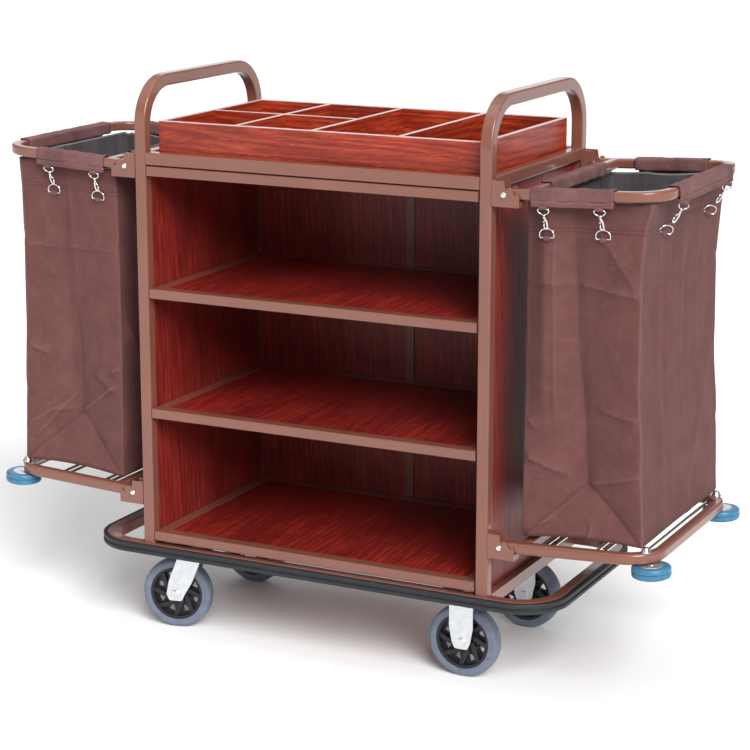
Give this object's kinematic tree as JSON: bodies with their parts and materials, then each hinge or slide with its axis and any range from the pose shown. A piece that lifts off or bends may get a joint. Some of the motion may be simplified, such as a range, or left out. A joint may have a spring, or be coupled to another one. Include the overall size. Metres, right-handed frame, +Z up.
{
  "type": "housekeeping cart",
  "caption": "Hotel housekeeping cart: open shelf cabinet with divided lift-out tray, push handles, folding end frames holding fabric laundry bags, bumper base, swivel and rigid casters.",
  "frame": {"origin": "bottom centre of the bounding box, on the floor under the middle of the cart", "axes": "+X along the cart's length to the rigid-caster end, +Y from the open front to the back panels, +Z up"},
  "size_m": [1.51, 0.51, 1.173],
  "materials": {
    "painted_steel": "gloss",
    "wood_laminate": "satin",
    "tray_wood": "satin",
    "bag_fabric": "woven",
    "bumper_rubber": "matte",
    "zinc": "bright",
    "nickel": "polished",
    "bright_wire": "polished",
    "wheel_core": "satin",
    "wheel_tread": "matte",
    "roller_rubber": "satin"
  },
  "bodies": {
    "cart": {"side_frame_left": "painted_steel", "side_frame_right": "painted_steel", "front_rail": "painted_steel", "rear_rail": "painted_steel", "base_frame": "painted_steel", "base_bumper": "bumper_rubber", "shelf_frame_bottom": "painted_steel", "shelf_board_bottom": "wood_laminate", "shelf_frame_middle": "painted_steel", "shelf_board_middle": "wood_laminate", "shelf_frame_upper": "painted_steel", "shelf_board_upper": "wood_laminate", "shelf_frame_top": "painted_steel", "shelf_board_top": "wood_laminate", "side_panel_left": "wood_laminate", "side_panel_right": "wood_laminate", "back_panels": "wood_laminate", "hinge_brackets": "painted_steel", "pivot_bolts": "nickel", "rigid_forks": "zinc", "swivel_plates": "zinc", "bag_left": "bag_fabric", "bag_rings_left": "nickel", "bag_right": "bag_fabric", "bag_rings_right": "nickel"},
    "tray": {"tray_walls": "tray_wood", "tray_floor": "tray_wood", "tray_dividers": "tray_wood"},
    "ring_left": {"bag_ring_left": "painted_steel", "ring_cuffs_left": "bag_fabric", "snap_hooks_left": "nickel"},
    "rest_left": {"bag_rest_left": "painted_steel", "rest_wires_left": "bright_wire", "roller_bolts_left": "zinc"},
    "roller_front_left": {"roller_tyre_front_left": "roller_rubber", "roller_hub_front_left": "zinc"},
    "roller_rear_left": {"roller_tyre_rear_left": "roller_rubber", "roller_hub_rear_left": "zinc"},
    "ring_right": {"bag_ring_right": "painted_steel", "ring_cuffs_right": "bag_fabric", "snap_hooks_right": "nickel"},
    "rest_right": {"bag_rest_right": "painted_steel", "rest_wires_right": "bright_wire", "roller_bolts_right": "zinc"},
    "roller_front_right": {"roller_tyre_front_right": "roller_rubber", "roller_hub_front_right": "zinc"},
    "roller_rear_right": {"roller_tyre_rear_right": "roller_rubber", "roller_hub_rear_right": "zinc"},
    "swivel_front": {"swivel_fork_front": "zinc"},
    "wheel_rigid_front": {"wheel_core_rigid_front": "wheel_core", "wheel_tyre_rigid_front": "wheel_tread"},
    "wheel_swivel_front": {"wheel_core_swivel_front": "wheel_core", "wheel_tyre_swivel_front": "wheel_tread"},
    "swivel_rear": {"swivel_fork_rear": "zinc"},
    "wheel_rigid_rear": {"wheel_core_rigid_rear": "wheel_core", "wheel_tyre_rigid_rear": "wheel_tread"},
    "wheel_swivel_rear": {"wheel_core_swivel_rear": "wheel_core", "wheel_tyre_swivel_rear": "wheel_tread"}
  },
  "joints": [
    {"name": "tray_lift", "type": "slide", "parent": "cart", "child": "tray", "axis": [0, 0, 1], "range_m": [0, 0.12]},
    {"name": "ring_right_fold", "type": "hinge", "parent": "cart", "child": "ring_right", "pos_m": [0.417, 0, 0.993], "axis": [0, -1, 0], "range_deg": [0, 87], "deforming": ["snap_hooks_right"]},
    {"name": "rest_right_fold", "type": "hinge", "parent": "cart", "child": "rest_right", "pos_m": [0.417, 0, 0.305], "axis": [0, -1, 0], "range_deg": [0, 87], "deforming": ["bag_right", "bag_rings_right"]},
    {"name": "roller_front_right_spin", "type": "hinge", "parent": "rest_right", "child": "roller_front_right", "pos_m": [0.7168, -0.208, 0.29511], "axis": [-0.0471, 0, 0.9989], "continuous": true},
    {"name": "roller_rear_right_spin", "type": "hinge", "parent": "rest_right", "child": "roller_rear_right", "pos_m": [0.7168, 0.208, 0.29511], "axis": [-0.0471, 0, 0.9989], "continuous": true},
    {"name": "ring_left_fold", "type": "hinge", "parent": "cart", "child": "ring_left", "pos_m": [-0.417, 0, 0.993], "axis": [0, 1, 0], "range_deg": [0, 87], "deforming": ["snap_hooks_left"]},
    {"name": "rest_left_fold", "type": "hinge", "parent": "cart", "child": "rest_left", "pos_m": [-0.417, 0, 0.305], "axis": [0, 1, 0], "range_deg": [0, 87], "deforming": ["bag_left", "bag_rings_left"]},
    {"name": "roller_front_left_spin", "type": "hinge", "parent": "rest_left", "child": "roller_front_left", "pos_m": [-0.7168, -0.208, 0.29511], "axis": [0.0471, 0, 0.9989], "continuous": true},
    {"name": "roller_rear_left_spin", "type": "hinge", "parent": "rest_left", "child": "roller_rear_left", "pos_m": [-0.7168, 0.208, 0.29511], "axis": [0.0471, 0, 0.9989], "continuous": true},
    {"name": "swivel_front_turn", "type": "hinge", "parent": "cart", "child": "swivel_front", "pos_m": [-0.312, -0.16, 0.16], "axis": [0, 0, 1], "continuous": true},
    {"name": "wheel_swivel_front_spin", "type": "hinge", "parent": "swivel_front", "child": "wheel_swivel_front", "pos_m": [-0.35406, -0.16894, 0.075], "axis": [-0.2079, 0.9781, 0], "continuous": true},
    {"name": "wheel_rigid_front_spin", "type": "hinge", "parent": "cart", "child": "wheel_rigid_front", "pos_m": [0.312, -0.16, 0.075], "axis": [0, 1, 0], "continuous": true},
    {"name": "swivel_rear_turn", "type": "hinge", "parent": "cart", "child": "swivel_rear", "pos_m": [-0.312, 0.16, 0.16], "axis": [0, 0, 1], "continuous": true},
    {"name": "wheel_swivel_rear_spin", "type": "hinge", "parent": "swivel_rear", "child": "wheel_swivel_rear", "pos_m": [-0.355, 0.16, 0.075], "axis": [0, 1, 0], "continuous": true},
    {"name": "wheel_rigid_rear_spin", "type": "hinge", "parent": "cart", "child": "wheel_rigid_rear", "pos_m": [0.312, 0.16, 0.075], "axis": [0, 1, 0], "continuous": true}
  ]
}
